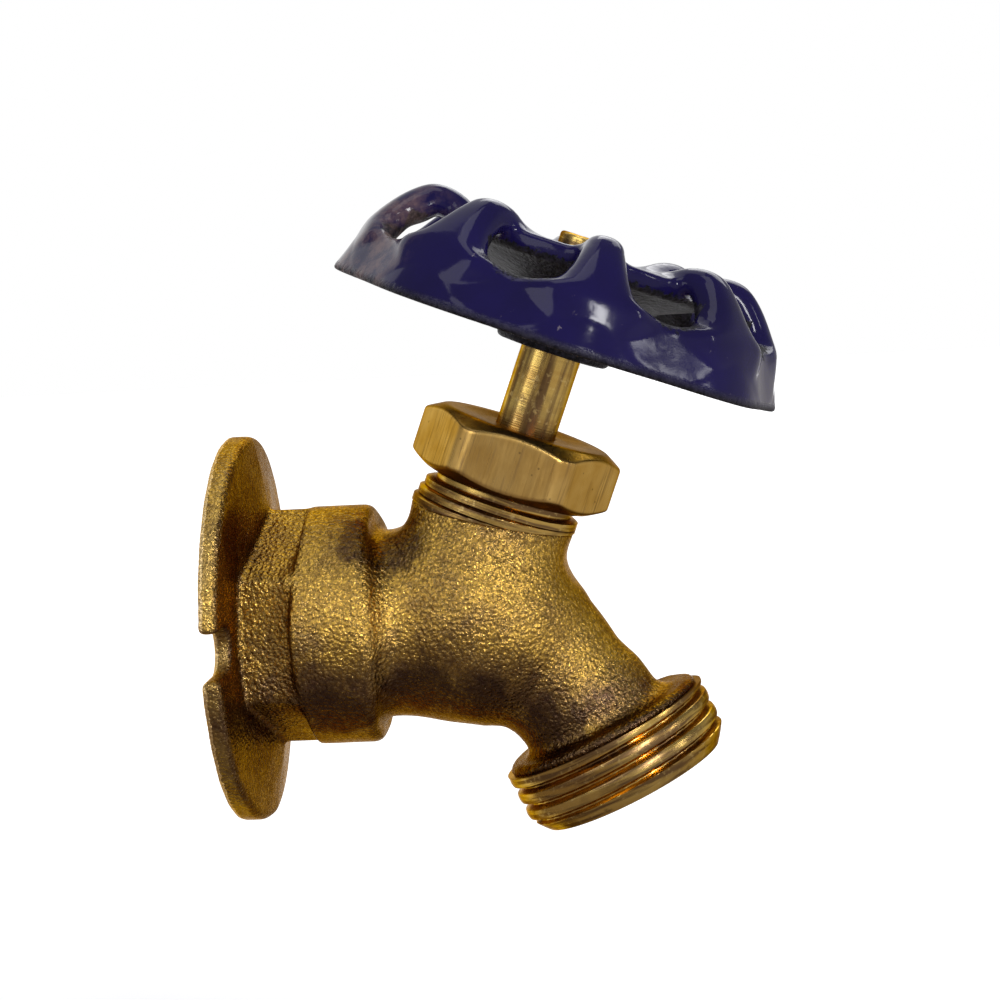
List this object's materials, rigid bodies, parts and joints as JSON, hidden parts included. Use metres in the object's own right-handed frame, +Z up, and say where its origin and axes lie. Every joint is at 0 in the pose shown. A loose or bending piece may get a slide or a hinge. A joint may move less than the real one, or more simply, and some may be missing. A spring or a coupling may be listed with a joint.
{
  "type": "sillcock",
  "caption": "Brass outdoor tap with a wall flange, a leaning spindle under a scalloped blue handwheel, and an angled outlet with a garden-hose thread.",
  "frame": {"origin": "centre of the wall flange's back face, on the inlet's axis", "axes": "+X away from the wall along the inlet, +Z up, +Y to the wall's other side; the spindle and the outlet lie in the XZ plane"},
  "size_m": [0.0687, 0.0575, 0.0806],
  "materials": {
    "cast_brass": "sand-cast skin, turned on the threads and rings",
    "nut_brass": "drawn bar, brushed flats, dull end face",
    "stem_brass": "turned, bright",
    "blue_enamel": "glossy navy-blue enamel, worn lighter at the edges",
    "screw_brass": "bright, dark patches",
    "black_rubber": "matte black"
  },
  "bodies": {
    "valve": {"body": "cast_brass", "packing_nut": "nut_brass", "packing_washer": "stem_brass", "stem_packing": "black_rubber", "gland": "stem_brass"},
    "washer": {"seat_washer": "black_rubber"},
    "spindle": {"stem": "stem_brass", "seat_screw": "screw_brass", "handwheel": "blue_enamel", "handle_screw": "screw_brass"}
  },
  "joints": [
    {"name": "spindle_rise", "type": "slide", "parent": "valve", "child": "washer", "axis": [0.3633, 0, 0.9317], "range_m": [0, 0.00508]},
    {"name": "spindle_turn", "type": "hinge", "parent": "washer", "child": "spindle", "pos_m": [0.0284, 0, 0], "axis": [0.3633, 0, 0.9317], "range_deg": [0, 720]}
  ],
  "couplings": [
    {"joint": "spindle_rise", "follows": "spindle_turn", "m_per_rad": 0.00040425}
  ]
}
